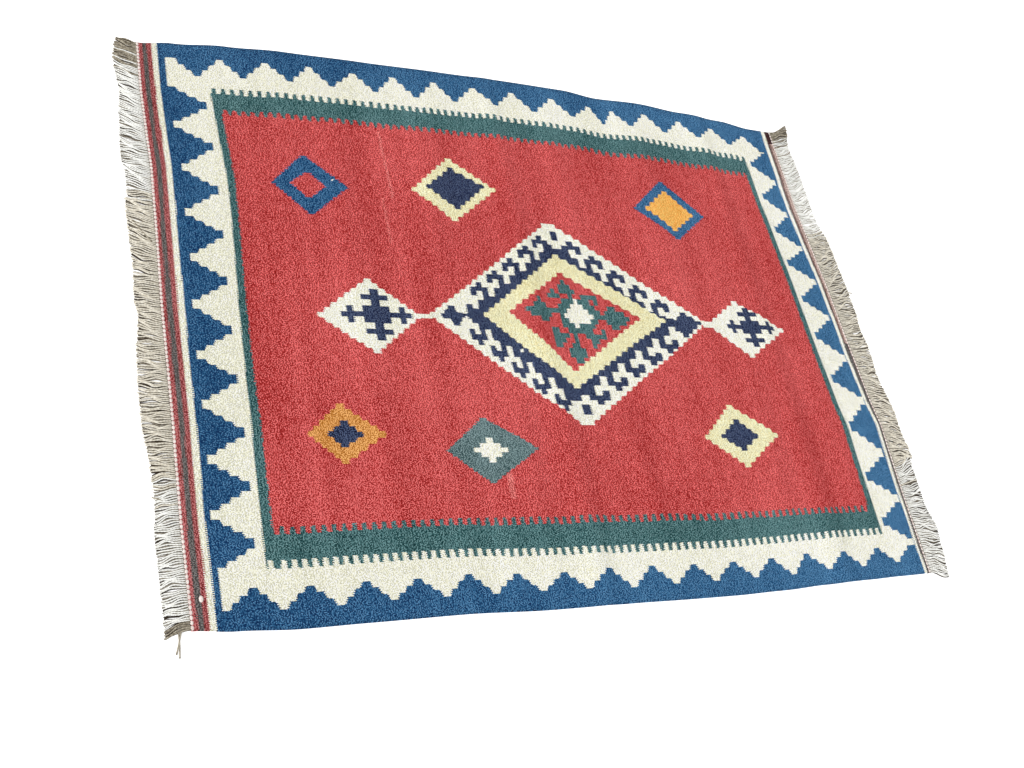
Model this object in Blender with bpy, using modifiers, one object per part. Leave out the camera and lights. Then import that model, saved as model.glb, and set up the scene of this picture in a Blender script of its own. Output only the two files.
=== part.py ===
"""Kilim rug: one flat slit-woven wool cloth with a knotted warp fringe at each end.

Metres, +Z up. The warps run along X, from the left end to the right end, and the wefts along Y, from the near
selvedge to the far one. The rug lies flat, and the origin is under the middle of its whole outline.

Inside the functions a place on the cloth is (along, across): 0 to 1 from the left end to the right end, and
0 to 1 from the near selvedge to the far one.
"""
import math

import bmesh
import bpy

# ---------------------------------------------------------------------------------------------------------
# Driving dimensions (metres)

CLOTH_LENGTH = 1.345
CLOTH_WIDTH = 1.000
CLOTH_THICKNESS = 0.003
CLEARANCE = 0.0003

# The middle of the whole outline, measured from the near corner of the left end.
OUTLINE_MIDDLE = (0.6805, 0.5105)

CLOTH_COLUMNS = 76
CLOTH_ROWS = 20

KNOT_ROW_WIDTH = 0.004
KNOT_ROW_HEIGHT = 0.003
STRANDS_PER_END = 120
STRAND_FILL = 0.72          # a strand's width, as a share of the room between its neighbours
STRAND_ROOT_HEIGHT = 0.0028
STRAND_TIP_HEIGHT = 0.0020
STRAND_SECTIONS = 3
STRANDS_PER_LOCK = 4
LOCK_SQUEEZE = 0.20
LEAN_MEASURED_AT = 0.042    # how far out from the knots the leans of the fringe table are reached

# How far the two selvedges run outside the straight line between their corners.
SELVEDGE_COLUMNS = ("along_mm", "near_out_mm", "far_out_mm")
SELVEDGES = (
    (0, 0, 0),
    (60, 5, 9),
    (150, 9, 19),
    (250, 8, 26),
    (400, 7, 29),
    (550, 11, 32),
    (700, 11, 34),
    (820, 12, 33),
    (900, 12, 24),
    (1000, 10, 27),
    (1100, 6, 19),
    (1200, 3, 12),
    (1280, 1, 1),
    (1345, 0, 0),
)

# How far the two woven ends stand to the right of the straight lines x = 0 and x = CLOTH_LENGTH.
END_COLUMNS = ("across_mm", "left_mm", "right_mm")
ENDS = (
    (0, 0, 3),
    (150, -2, 5),
    (250, -1, 9),
    (300, 0, 12),
    (350, 0, 6),
    (500, 0, 0),
    (600, 2, -2),
    (750, 4, -10),
    (800, 2, -13),
    (900, -1, -12),
    (1000, 0, -12),
)

# The fringe: how long it is and how far its tips lean towards the far selvedge.
FRINGE_COLUMNS = ("across_mm", "left_length_mm", "left_lean_mm", "right_length_mm", "right_lean_mm")
FRINGE = (
    (0, 36, -10, 46, -8),
    (60, 36, -14, 51, -8),
    (140, 38, -14, 50, -3),
    (200, 34, -8, 49, 3),
    (250, 37, -2, 51, -6),
    (330, 44, 0, 52, -4),
    (430, 41, 3, 53, 0),
    (500, 42, 3, 50, 4),
    (560, 39, 0, 52, 4),
    (620, 41, 14, 54, 6),
    (700, 42, 14, 54, 2),
    (760, 44, 6, 47, 10),
    (850, 38, 22, 45, 18),
    (930, 37, 24, 40, 16),
    (1000, 33, 12, 54, 24),
)

# Soft ridges that an earlier folding has left across the cloth. Each runs from a place on the near side to
# one on the far side, rises over its left flank and falls over its right one, and fades out at both ends.
RIDGE_COLUMNS = (
    "near_along_mm", "near_across_mm", "far_along_mm", "far_across_mm", "left_mm", "right_mm", "height_mm")
RIDGES = (
    (330, 60, 322, 960, 45, 28, 2.0),
    (556, 60, 578, 420, 80, 30, 3.2),
    (458, 520, 520, 930, 75, 34, 3.0),
    (650, -60, 648, 1060, 48, 28, 4.5),
    (802, 40, 768, 360, 40, 30, 2.8),
    (764, 600, 768, 1020, 38, 30, 3.0),
    (962, 500, 978, 1040, 95, 34, 3.4),
    (1058, 40, 1090, 480, 70, 34, 2.6),
    (1148, -60, 1142, 1060, 50, 30, 4.0),
    (1240, 60, 1228, 900, 48, 36, 2.4),
)
RIDGE_FADE_MM = 110

MM = 0.001


# ---------------------------------------------------------------------------------------------------------
# The outline and the folds of the cloth

def column(table, names, name):
    """One named column of a table, as a list."""
    place = names.index(name)
    return [row[place] for row in table]


def straight_read(at, stations, values):
    """The value at a place, on straight lines between a table's rows."""
    if at <= stations[0]:
        return values[0]
    for low, high, first, last in zip(stations, stations[1:], values, values[1:]):
        if at <= high:
            return first + (last - first) * (at - low) / (high - low)
    return values[-1]


def smooth_read(at, stations, values):
    """The value at a place, eased between a table's rows."""
    if at <= stations[0]:
        return values[0]
    for low, high, first, last in zip(stations, stations[1:], values, values[1:]):
        if at <= high:
            share = (at - low) / (high - low)
            return first + (last - first) * (3 - 2 * share) * share * share
    return values[-1]


def end_line(across, side):
    """Where the left or right woven end lies, in metres from the left end's straight line."""
    rows = column(ENDS, END_COLUMNS, "across_mm")
    offset = straight_read(across / MM * CLOTH_WIDTH, rows, column(ENDS, END_COLUMNS, side + "_mm"))
    return offset * MM + (CLOTH_LENGTH if side == "right" else 0.0)


def selvedge_out(x, side):
    """How far the near or far selvedge runs outside its straight line at x metres from the left end."""
    rows = column(SELVEDGES, SELVEDGE_COLUMNS, "along_mm")
    return smooth_read(x / MM, rows, column(SELVEDGES, SELVEDGE_COLUMNS, side + "_out_mm")) * MM


def cloth_place(along, across):
    """Where a place on the cloth lies in plan, measured from the near corner of the left end."""
    left = end_line(across, "left")
    x = left + (end_line(across, "right") - left) * along
    near = -selvedge_out(x, "near")
    far = CLOTH_WIDTH + selvedge_out(x, "far")
    return x, near + (far - near) * across


def ridge_height(x, y):
    """How high the underside of the cloth stands off the floor at a place in plan."""
    height = 0.0
    for row in RIDGES:
        ridge = dict(zip(RIDGE_COLUMNS, row))
        start, stop = ridge["near_across_mm"], ridge["far_across_mm"]
        share = (y / MM - start) / (stop - start)
        if share <= 0 or share >= 1:
            continue
        crest = ridge["near_along_mm"] + (ridge["far_along_mm"] - ridge["near_along_mm"]) * share
        away = x / MM - crest
        flank = ridge["right_mm"] if away > 0 else ridge["left_mm"]
        if abs(away) >= flank:
            continue
        fade = min(1.0, share * (stop - start) / RIDGE_FADE_MM, (1 - share) * (stop - start) / RIDGE_FADE_MM)
        height = max(height, ridge["height_mm"] * fade * (0.5 + 0.5 * math.cos(math.pi * away / flank)))
    return height * MM


def on_floor(x, y, z):
    """A place in the part's own frame."""
    return x - OUTLINE_MIDDLE[0], y - OUTLINE_MIDDLE[1], z


# ---------------------------------------------------------------------------------------------------------
# Materials and objects

def make_material(name, colour, roughness):
    material = bpy.data.materials.new(name)
    material.use_nodes = True
    shader = material.node_tree.nodes["Principled BSDF"]
    shader.inputs["Base Color"].default_value = (*colour, 1.0)
    shader.inputs["Roughness"].default_value = roughness
    shader.inputs["Metallic"].default_value = 0.0
    material.diffuse_color = (*colour, 1.0)
    return material


def add_object(bm, name, material, collection):
    """Turns a bmesh into a named object of the rug."""
    mesh = bpy.data.meshes.new(name)
    bm.to_mesh(mesh)
    bm.free()
    mesh.materials.append(material)
    mesh.shade_smooth()
    mesh.set_sharp_from_angle(angle=math.radians(40))
    thing = bpy.data.objects.new(name, mesh)
    collection.objects.link(thing)
    return thing


# ---------------------------------------------------------------------------------------------------------
# The woven cloth

def make_cloth(collection, material):
    """A flat sheet on the outline, raised along its soft ridges and given its thickness upwards."""
    bm = bmesh.new()
    bmesh.ops.create_grid(bm, x_segments=CLOTH_COLUMNS, y_segments=CLOTH_ROWS, size=0.5)
    for vertex in bm.verts:
        x, y = cloth_place(vertex.co.x + 0.5, vertex.co.y + 0.5)
        vertex.co = on_floor(x, y, ridge_height(x, y))
    cloth = add_object(bm, "rug_cloth", material, collection)
    thickness = cloth.modifiers.new("Thickness", "SOLIDIFY")
    thickness.thickness = CLOTH_THICKNESS
    thickness.offset = 1.0
    return cloth


# ---------------------------------------------------------------------------------------------------------
# The fringes

def fringe_value(across, side, what):
    rows = column(FRINGE, FRINGE_COLUMNS, "across_mm")
    values = column(FRINGE, FRINGE_COLUMNS, "%s_%s_mm" % (side, what))
    return smooth_read(across / MM * CLOTH_WIDTH, rows, values) * MM


def strand_length(number, side):
    across = (number + 0.5) / STRANDS_PER_END
    uneven = 0.0015 * math.sin(2.4 * number) + 0.0010 * math.sin(0.9 * number + 1.0)
    return fringe_value(across, side, "length") - KNOT_ROW_WIDTH + uneven


def strand_travel(number, side, reach):
    """How far a strand has moved sideways at a reach from its root: with its place's lean, and to its lock."""
    across = (number + 0.5) / STRANDS_PER_END
    in_lock = number % STRANDS_PER_LOCK - (STRANDS_PER_LOCK - 1) / 2
    pitch = CLOTH_WIDTH / STRANDS_PER_END
    travel = fringe_value(across, side, "lean") - in_lock * pitch * LOCK_SQUEEZE
    return travel * (reach / LEAN_MEASURED_AT) ** 1.5


def facet_edges():
    """The places across the end where the facets of the knot row begin and stop: gap, strand, gap, strand."""
    half = STRAND_FILL / STRANDS_PER_END / 2
    edges = [0.0]
    for number in range(STRANDS_PER_END):
        middle = (number + 0.5) / STRANDS_PER_END
        edges += [middle - half, middle + half]
    return edges + [1.0]


def strand_widths(middles):
    """Each strand's width at one section, from the room that its nearer neighbour leaves it."""
    rooms = [after - before for before, after in zip(middles, middles[1:])]
    rooms = [rooms[0]] + rooms + [rooms[-1]]
    return [STRAND_FILL * min(before, after) for before, after in zip(rooms, rooms[1:])]


def make_fringe(collection, material, side):
    """A knotted row beside the cloth's end, with one strand drawn out of every other facet of its outer face."""
    outward = -1 if side == "left" else 1
    edges = facet_edges()
    bm = bmesh.new()

    # The inner wall of the knot row, upright beside the cloth's end. It is drawn out into a solid row.
    bmesh.ops.create_grid(bm, x_segments=len(edges) - 1, y_segments=1, size=0.5)
    for vertex in bm.verts:
        place = edges[round((vertex.co.x + 0.5) * (len(edges) - 1))]
        upper = vertex.co.y > 0
        x, y = cloth_place(0.0 if side == "left" else 1.0, place)
        vertex.co = on_floor(x + outward * CLEARANCE, y, KNOT_ROW_HEIGHT if upper else 0.0)
    drawn = bmesh.ops.extrude_face_region(bm, geom=bm.faces[:])["geom"]
    outer = [item for item in drawn if isinstance(item, bmesh.types.BMFace)]
    bmesh.ops.translate(
        bm, verts=[item for item in drawn if isinstance(item, bmesh.types.BMVert)],
        vec=(outward * KNOT_ROW_WIDTH, 0, 0))

    outer.sort(key=lambda face: face.calc_center_median().y)
    strands = outer[1::2]
    roots = [face.calc_center_median().copy() for face in strands]
    for section in range(1, STRAND_SECTIONS + 1):
        share = section / STRAND_SECTIONS
        reaches = [strand_length(number, side) * share for number in range(STRANDS_PER_END)]
        middles = [
            root.y + strand_travel(number, side, reach)
            for number, (root, reach) in enumerate(zip(roots, reaches))]
        height = STRAND_ROOT_HEIGHT + (STRAND_TIP_HEIGHT - STRAND_ROOT_HEIGHT) * share
        strands = bmesh.ops.extrude_discrete_faces(bm, faces=strands)["faces"]
        strands.sort(key=lambda face: face.calc_center_median().y)
        for face, root, reach, middle, width in zip(strands, roots, reaches, middles, strand_widths(middles)):
            centre = face.calc_center_median()
            for vertex in face.verts:
                z = height if vertex.co.z > centre.z else 0.0
                across = middle + math.copysign(width / 2, vertex.co.y - centre.y)
                vertex.co = (root.x + outward * reach, across, z)
    bmesh.ops.recalc_face_normals(bm, faces=bm.faces[:])
    return add_object(bm, "fringe_" + side, material, collection)


# ---------------------------------------------------------------------------------------------------------

def main():
    for thing in list(bpy.data.objects):
        bpy.data.objects.remove(thing, do_unlink=True)

    collection = bpy.data.collections.new("kilim_rug")
    bpy.context.scene.collection.children.link(collection)

    wool = make_material("woven_wool", (0.58, 0.06, 0.07), 0.95)
    cotton = make_material("fringe_cotton", (0.62, 0.58, 0.50), 0.95)

    make_cloth(collection, wool)
    for side in ("left", "right"):
        make_fringe(collection, cotton, side)


main()
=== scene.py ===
import math

import bmesh
import bpy
import numpy as np
from mathutils import Matrix


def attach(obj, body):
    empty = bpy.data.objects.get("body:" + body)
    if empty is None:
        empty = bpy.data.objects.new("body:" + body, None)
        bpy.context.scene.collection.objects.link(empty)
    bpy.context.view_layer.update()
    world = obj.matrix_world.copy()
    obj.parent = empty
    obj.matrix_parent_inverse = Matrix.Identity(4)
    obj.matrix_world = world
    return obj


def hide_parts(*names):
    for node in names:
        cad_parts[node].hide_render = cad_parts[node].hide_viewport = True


# The looks of the kilim rug, in metres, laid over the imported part: the woven cloth with its pattern, the
# knotted and twisted cords at both ends, the floor, the light and the camera.
# A place "in plan" is measured from the near corner of the left end, x along the rug and y across it.

MM = 0.001

# ---------------------------------------------------------------------------------------------------------
# The cloth's size, outline and folds. They are the part's, but the cloth is 0.2 mm thinner here.

CLOTH_LENGTH = 1.345
CLOTH_WIDTH = 1.000
CLOTH_THICKNESS = 0.0028
OUTLINE_MIDDLE = (0.6805, 0.5105)

SELVEDGE_COLUMNS = ("along", "near_out", "far_out")
SELVEDGES_MM = (
    (0, 0, 0), (60, 5, 9), (150, 9, 19), (250, 8, 26), (400, 7, 29), (550, 11, 32), (700, 11, 34),
    (820, 12, 33), (900, 12, 24), (1000, 10, 27), (1100, 6, 19), (1200, 3, 12), (1280, 1, 1), (1345, 0, 0))

END_COLUMNS = ("across", "left", "right")
ENDS_MM = (
    (0, 0, 3), (150, -2, 5), (250, -1, 9), (300, 0, 12), (350, 0, 6), (500, 0, 0), (600, 2, -2),
    (750, 4, -10), (800, 2, -13), (900, -1, -12), (1000, 0, -12))

RIDGE_COLUMNS = ("near_along", "near_across", "far_along", "far_across", "left", "right", "height")
RIDGES_MM = (
    (330, 60, 322, 960, 45, 28, 2.0),
    (556, 60, 578, 420, 80, 30, 3.2),
    (458, 520, 520, 930, 75, 34, 3.0),
    (650, -60, 648, 1060, 48, 28, 4.5),
    (802, 40, 768, 360, 40, 30, 2.8),
    (764, 600, 768, 1020, 38, 30, 3.0),
    (962, 500, 978, 1040, 95, 34, 3.4),
    (1058, 40, 1090, 480, 70, 34, 2.6),
    (1148, -60, 1142, 1060, 50, 30, 4.0),
    (1240, 60, 1228, 900, 48, 36, 2.4),
)
RIDGE_FADE = 0.110

# ---------------------------------------------------------------------------------------------------------
# The weave. One cell is one rib wide and about as long, and a step of the pattern is nine cells by six ribs.
# A place "in the weave" is measured along the warp from the left end and across it from the near selvedge, on
# the cloth as it came off the loom, 1345 by 1000 mm, so the bands of the pattern are straight there.

CELLS_ALONG = 900
CELLS_ACROSS = 648
STEP_CELLS = (9, 6)
RIB = CLOTH_WIDTH / CELLS_ACROSS
WEFT = 0.0016
# How near to straight the two edges at a corner are that become one.
STRAIGHT = 1e-4

# The diamonds' flanks: how high a step is, how much of it leans, and half the width of a tip.
STEP = 0.0093
LEAN = 0.34
HALF_TIP = 0.0065
FINE_STEP = 0.0060
FINE_LEAN = 0.55
BLUNT_HALF_TIP = 0.014

# How far a colour edge strays on every second rib, how far a frayed rib, a turn set by hand and a line woven
# by eye stray, and at which even spaces that line bends.
SERRATION = 0.0009
FRAY = 0.0015
HAND_SLIP = 0.0018
WANDER = 0.0009
BEND_SPACING = 0.045
BENDS = 40
BENDS_BEFORE = 4
SEEDS = {
    "far_wave": 21, "near_wave": 23, "left_wave": 25, "right_wave": 27, "left_stripes": 31, "right_blue": 41,
    "fray": 5, "fringe_left": 7, "fringe_right": 11}

# How much of a yarn's tone comes from single beads, from each of the four beads beside one (painted shade:
# a bead that stands out darkens the ones beside it), from streaks along the weft, from dye bands and from the
# broad patches of abrash.
BEAD_SHARE = 1.5
BESIDE_SHARE = -0.27
BEADS_BESIDE = ((1, 0), (-1, 0), (0, 1), (0, -1))
STREAK_SHARE = 0.9
BAND_SHARE = 0.5
ABRASH_SHARE = 0.45
TONE_SHARES = BEAD_SHARE + len(BEADS_BESIDE) * BESIDE_SHARE + STREAK_SHARE + BAND_SHARE + ABRASH_SHARE

# How many swells a metre each noise of the tone has along and across, and how much finer detail.
STREAKS = (520.0, 60.0, 1.0)
BANDS = (26.0, 1.6, 2.0)
ABRASH = (5.0, 4.0, 2.0)

# The relief of the weft beside that of the ribs, the bump's strength and height, and the yarns' surface.
WEFT_RELIEF = 0.35
BUMP_STRENGTH = 0.7
BUMP_HEIGHT = 0.0005
DARKEST = 6
ROUGHNESS = 0.95
WOOL_SHINE = 0.12
COTTON_SHINE = 0.1
COTTON_SWELLS = 260.0
COTTON_CONTRAST = (2.4, -0.7)

# Each yarn's middle colour (sRGB, 0 to 255), how far its tone strays to either side, and how much painted
# light pales it from the left end to the right one.
YARNS = (
    ("red", (190, 66, 65), 54, 0.0),
    ("pale_red", (208, 102, 98), 48, 0.0),
    ("madder", (158, 78, 78), 50, 0.0),
    ("blue", (40, 91, 133), 48, 0.40),
    ("ivory", (253, 251, 226), 44, 0.26),
    ("green", (61, 101, 103), 52, 0.08),
    ("pale_green", (88, 112, 114), 48, 0.0),
    ("navy", (40, 53, 84), 46, 0.0),
    ("yellow", (246, 236, 180), 46, 0.0),
    ("orange", (254, 178, 88), 36, 0.0),
    ("amber", (212, 144, 72), 46, 0.0),
    ("slate", (96, 92, 90), 36, 0.0),
    ("brown", (112, 80, 74), 48, 0.0),
    ("rose", (186, 160, 150), 54, 0.0),
    # Painted shade: the dark yarn on the far corner of the right end's bands.
    ("dusky", (66, 36, 38), 24, 0.0),
)
YARN_NAMES = [row[0] for row in YARNS]

# ---------------------------------------------------------------------------------------------------------
# The border, in millimetres in the weave. A line along the rug is (along, across) pairs, and one across it is
# (across, along) pairs. Repeats are given as the first one's middle and runs of (how many, how wide).

LEFT_STRIPES = (("madder", 9.2), ("slate", 16.8), ("madder", 25.0), ("ivory", 33.8))
RIGHT_BLUE = ((0, 1332), (300, 1331), (450, 1325), (620, 1325), (800, 1319.5), (1000, 1321))
RIGHT_IVORY_WIDTH = ((0, 5.5), (500, 7.5), (1000, 9))
RIGHT_BANDS = (
    (480, (("slate", 0.74), ("brown", 1.01))),
    (1010, (("slate", 0.20), ("brown", 0.48), ("rose", 1.01))))
# Where across the painted shade on the far corner of the right end begins.
PAINTED_SHADE_CORNER_FROM = 968

# A wave: its first outer turn, its runs of repeats, and the lines of its outer and of its inner turns.
FAR_WAVE = (56.5, ((7, 80.9), (3, 86.8), (1, 51.5), (4, 82.2)), ((0, 969), (500, 974), (1345, 973)),
            ((0, 934.5), (700, 937.5), (1345, 942)))
NEAR_WAVE = (48, ((15, 81.75),), ((0, 28.5), (1345, 25)), ((0, 59.5), (1345, 55)))
LEFT_WAVE = (82, ((10, 83.4),), ((0, 43.5), (400, 45), (720, 50), (1000, 45)),
             ((0, 100), (400, 103), (720, 106.5), (1000, 105)))
RIGHT_WAVE = (60, ((2, 90), (1, 115), (2, 92), (5, 81)), ((0, 1329), (300, 1328), (500, 1321), (1000, 1310)),
              ((0, 1272), (300, 1266), (1000, 1264)))
# Where a wave steps between an outer and an inner turn, as shares of the way.
LONG_SIDE_STEPS = (0.19, 0.49, 0.80)
SHORT_SIDE_STEPS = (0.17, 0.39, 0.60, 0.81)
RISER_SPREAD = 0.11
SHARP_RISER = 1e-3
TREAD_LEAN = 0.30

# The green frame's outer lines (with the ivory) and inner ones (with the red field).
FAR_GREEN = ((0, 896), (600, 904), (1345, 904.5))
FAR_RED = ((0, 854), (600, 860.5), (1345, 861))
NEAR_GREEN = ((0, 84.5), (400, 85.5), (700, 80.5), (1345, 80))
NEAR_RED = ((0, 146), (450, 145.5), (850, 141), (1345, 135.5))
LEFT_GREEN = ((0, 111), (350, 114), (700, 122.5), (1000, 113))
LEFT_RED = ((0, 128), (400, 128), (720, 135), (1000, 126))
RIGHT_GREEN = ((0, 1262), (500, 1256), (1000, 1249.5))
RIGHT_RED = ((0, 1248), (350, 1244), (1000, 1237))

# Teeth past the frame's long lines: reach, width at the line and at the tip, the first one's middle, and
# the runs of them.
FAR_GREEN_TEETH = (11.5, 9.0, 6.4, 122.5, ((21, 15.85), (14, 14.4), (12, 15.55), (27, 14.9)))
FAR_RED_TEETH = (10.5, 11.0, 5.0, 137, ((16, 15.55), (32, 14.93), (11, 16.5), (13, 14.65)))
NEAR_IVORY_TEETH = (11.8, 9.2, 6.8, 118, ((1, 19), (38, 15.27), (13, 16.04), (21, 15.42), (1, 17.5)))
NEAR_RED_TEETH = (-12.0, 9.5, 6.0, 133, ((19, 15.5), (20, 15.2), (14, 16.15), (19, 14.75)))

# ---------------------------------------------------------------------------------------------------------
# The motifs, in millimetres in plan. A stepped diamond is its yarn and its left, far, right and near tip.

FINE_DIAMONDS = (
    ("blue", (198, 742), (260, 803), (331, 744), (259, 684)),
    ("red", (229, 745), (262, 768), (291, 743), (260, 718)),
    ("blue", (914, 761), (997, 832), (1080, 757), (1000, 697)),
    ("pale_green", (421, 256), (495, 313), (585, 257), (490, 199)),
)
SMALL_DIAMONDS = (
    ("yellow", (450, 754), (534, 831), (618, 771), (522, 695)),
    ("navy", (478, 762), (534, 811), (596, 776), (533, 721)),
    ("orange", (941, 762), (998, 810), (1053, 757), (999, 716)),
    ("amber", (198, 286), (255, 336), (323, 284), (251, 236)),
    ("navy", (229, 285), (258, 308), (287, 284), (254, 263)),
    ("yellow", (927, 276), (1001, 341), (1091, 279), (1004, 218)),
    ("navy", (963, 278), (1006, 312), (1046, 278), (1006, 249)),
)
PENDANTS = (
    ("ivory", (242, 493), (336, 565), (421, 498), (332, 426)),
    ("ivory", (1009, 508), (1087, 563), (1189, 503), (1091, 440)),
)
MEDALLION = ("ivory", (437, 502), (711, 706), (1006, 512), (691, 300))
MEDALLION_YELLOW = ("yellow", (538, 507), (710, 640), (914, 512), (689, 369))
MEDALLION_RED = ("red", (590, 516), (710, 602), (858, 514), (694, 403))
SIDE_DIAMONDS = (
    ("navy", (458, 502), (480, 522), (502, 503), (484, 483)),
    ("navy", (931, 511), (956, 532), (995, 511), (951, 478)),
)

# The navy band of running hooks: in each quarter of the medallion, the middle of the first and of the last
# hook's outermost cell. A hook is three cells wide; its rows run from the outermost one inwards, and each row
# of a cell column is one cell further out than in the column before it.
HOOKS_PER_QUARTER = 5
HOOK_ENDS = {
    "far_left": ((541, 567), (684, 674)),
    "near_left": ((522, 453), (655, 330)),
    "far_right": ((908, 553), (746, 666)),
    "near_right": ((906, 449), (729, 343)),
}
HOOK = (".##", ".##", "#..", "#..", "#.#")
HOOK_LEAN = 0.08

# Short bars that join or fill the motifs: yarn, middle, length and width.
BARS = (
    ("ivory", (427, 499), 30, 7), ("ivory", (1009, 508), 24, 13),
    ("navy", (507, 505), 22, 6), ("navy", (519, 508), 22, 20), ("navy", (921, 511), 24, 12),
    ("navy", (717, 681), 14, 18), ("navy", (697, 329), 17, 18),
)

# The charted motifs, rows from the far side to the near one. "#" is the motif's yarn and "o" ivory.
CROSS = (
    "..........###..........",
    ".......#########.......",
    "..........###..........",
    "..##...#########...##..",
    "#######################",
    "..##...#########...##..",
    "..........###..........",
    ".......#########.......",
    "..........###..........",
)
STAR = (
    "..#..",
    ".###.",
    "#####",
    ".###.",
    "..#..",
)
FLOWER = (
    "..........#..............",
    ".........###.............",
    ".......#.####............",
    "......###..#..####.......",
    "...#.....###o###.#.......",
    "..###...###ooo###...##...",
    "##########ooooo###.#####.",
    ".#####..#ooooooo#########",
    "...##...##ooooo##..#####.",
    "........###o####....##...",
    ".....##..######..#.......",
    ".....####.#..#####.......",
    ".....###..#...##.........",
    ".....##..##...#..........",
    "........####.............",
    "........####.............",
    ".........##..............",
)
# Each charted motif: its chart, yarn, middle, and the length and width of one of its cells.
CHARTED = (
    (CROSS, "navy", (343.5, 497.5), 5.35, 10.3),
    (CROSS, "navy", (1109, 506), 4.8, 9.2),
    (STAR, "ivory", (498, 256), 12, 8.2),
    (FLOWER, "green", (728, 503), 8.5, 9.5),
)

# Single paler places: flecks (middle and radius) and faint streaks along the weft (middle, width and length).
FLECKS = (((597, 440), 3.4), ((305, 757), 2.0), ((9, 192), 1.6))
PALE_STREAKS = (((409, 803), 4, 137), ((521, 193), 10, 42), ((392, 685), 3, 90), ((1012, 750), 3, 100))

# ---------------------------------------------------------------------------------------------------------
# The fringes: how long they are, and how far aside their cords lie at a set distance from the roots.

FRINGE_COLUMNS = ("across", "left_length", "left_lean", "right_length", "right_lean")
FRINGE_MM = (
    (0, 36, -11, 46, -11), (60, 36, -6, 55, -5), (90, 36, -8, 60, -3), (130, 37, -6, 50, 0),
    (195, 33, -12, 50, 12), (212, 34, -3, 53, 20), (240, 36, 0, 56, -3), (300, 43, 1, 48, -7),
    (350, 44, 2, 55, -9), (412, 42, 4, 47, -4), (470, 35, 14, 53, 3), (505, 39, 2, 50, 8),
    (550, 38, 6, 55, 5), (600, 41, 17, 56, 10), (665, 43, 13, 55, 14), (690, 40, 3, 56, 7),
    (720, 41, 20, 56, 5), (760, 45, 5, 46, 10), (830, 40, 18, 48, 19), (880, 35, 20, 47, 20),
    (950, 40, 15, 43, 16), (1000, 33, 13, 57, 16))
LEAN_MEASURED_AT = 0.042

# The knots follow the pitch of the teeth in the photo. How many cords there are is a choice.
KNOTS_PER_END = 140
CORDS_PER_END = 308
PLY_RADIUS = 0.00082
TWIST_RADIUS = 0.00036
TWIST_PITCH = 0.0088
CORD_POINTS = 22
INNER_CORD_RADIUS = 0.0009
SHADED_CORD_RADIUS = 0.0014
LOOSE_CORD_RADIUS = 0.0011
PLAIN_POINTS = 10
CLOSED_REACH = 0.006
CLOSED_TWIST = 0.45
ROUND_SIDES = 1
COARSE_SIDES = 0

# How far single cords stray from the table, and how they bend, rise from the knot and droop to the tip.
ROOT_STRAY = 0.0004
LENGTH_STRAY = (-0.0012, 0.0008)
LEAN_STRAY = 0.0014
LEAN_CURVE = 1.5
ROOT_HEIGHT = 0.0022
RISE_RATE = 4
RISE_CURVE = 0.7
DROOP_FROM = 0.6
TOP_HEIGHTS = (0.0030, 0.0042)
TOP_TIP_HEIGHT = 0.0017
INNER_HEIGHT = 0.0020
INNER_TIP_HEIGHT = 0.0012
SHADED_HEIGHT = 0.0015
BETWEEN_CORDS = (0.8, 1.2)

# How neighbouring cords sway together: wave length across, wave length outwards, and size.
SWAYS_MM = ((11, 26, 0.35), (19, -33, 0.80), (31, 41, 1.2), (53, -58, 1.6))
FULL_SWAY_AT = 0.020

# Where the cords part and show the darker ones under them, whose colours are painted shade: the place across,
# half the gap's width at its widest, and how far out it is widest. Finer partings come at even chances
# between these.
PARTINGS_MM = {
    "left": (
        (24, 2.2, 28), (130, 1.6, 29), (165, 1.3, 28), (227, 2.2, 26), (347, 1.3, 25), (387, 2.3, 36),
        (434, 2.1, 27), (549, 1.5, 25), (573, 2.3, 31), (610, 2.3, 29), (689, 2.1, 32), (795, 2.1, 25),
        (872, 2.0, 21), (900, 1.9, 20), (952, 2.2, 21), (988, 1.8, 22)),
    "right": (
        (8, 1.6, 40), (22, 1.6, 38), (57, 2.0, 36), (174, 2.3, 38), (267, 1.7, 12), (376, 2.2, 26),
        (415, 2.3, 38), (470, 1.8, 30), (500, 1.9, 44), (573, 1.8, 21), (593, 2.9, 39), (615, 1.7, 34),
        (792, 2.3, 28), (820, 1.6, 29), (957, 1.8, 30)),
}
FINE_PARTINGS = {"left": 34, "right": 64}
FINE_PARTING_GAP = 0.0014
FINE_WIDEST_AT = (0.014, 0.036)
PARTING_LENGTH = 0.8
PARTING_BREADTH = 0.006

# Which cotton the cords of each stretch are of, up to a place across, and how far the cottons mingle there.
# The grey cotton on the far corners is painted shade; the near left corner's cords and the loose cords are of
# the same grey.
COTTON_STRETCHES = {
    "left": ((12, "painted_shade_grey"), (205, "white"), (695, "beige"), (950, "white"), (1100, "painted_shade_grey")),
    "right": ((200, "white"), (740, "beige"), (960, "white"), (1100, "painted_shade_grey")),
}
MINGLED_MM = 15
WIDTH_MM = CLOTH_WIDTH / MM
# Between these places across no shaded cords lie next to the floor, and the floor shows.
THIN_STRETCHES_MM = {"left": (0, 0), "right": (740, 960)}
INNER_REACH = 0.97
SHADED_REACH = 0.95
LOOSE_CORDS_MM = {
    "left": (
        ((-14, -1, 3), (-18, -16, 2), (-22, -30, 1)),
        ((-17, -2, 3), (-17, -18, 2), (-18, -35, 1)),
        ((-5, 608, 4), (-15, 620, 4.5), (-24, 634, 4), (-31, 645, 3)),
        ((-20, 184, 3), (-29, 188, 3.5), (-37, 191, 2))),
    "right": (((1394, 600, 3), (1400, 601, 2.5), (1407, 601, 1)),),
}
# How far in from the end the middles of the root knots lie, and their half sizes.
ROOT_KNOTS = {"left": (0.0014, (0.0024, 0.0034, 0.0007)), "right": (0.0004, (0.0018, 0.0030, 0.0007))}
STRIPE_KNOT_PLACE = (0.0165, 0.0425, 0.0032)
STRIPE_KNOT_HALF_SIZES = (0.0032, 0.0050, 0.0016)

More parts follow.
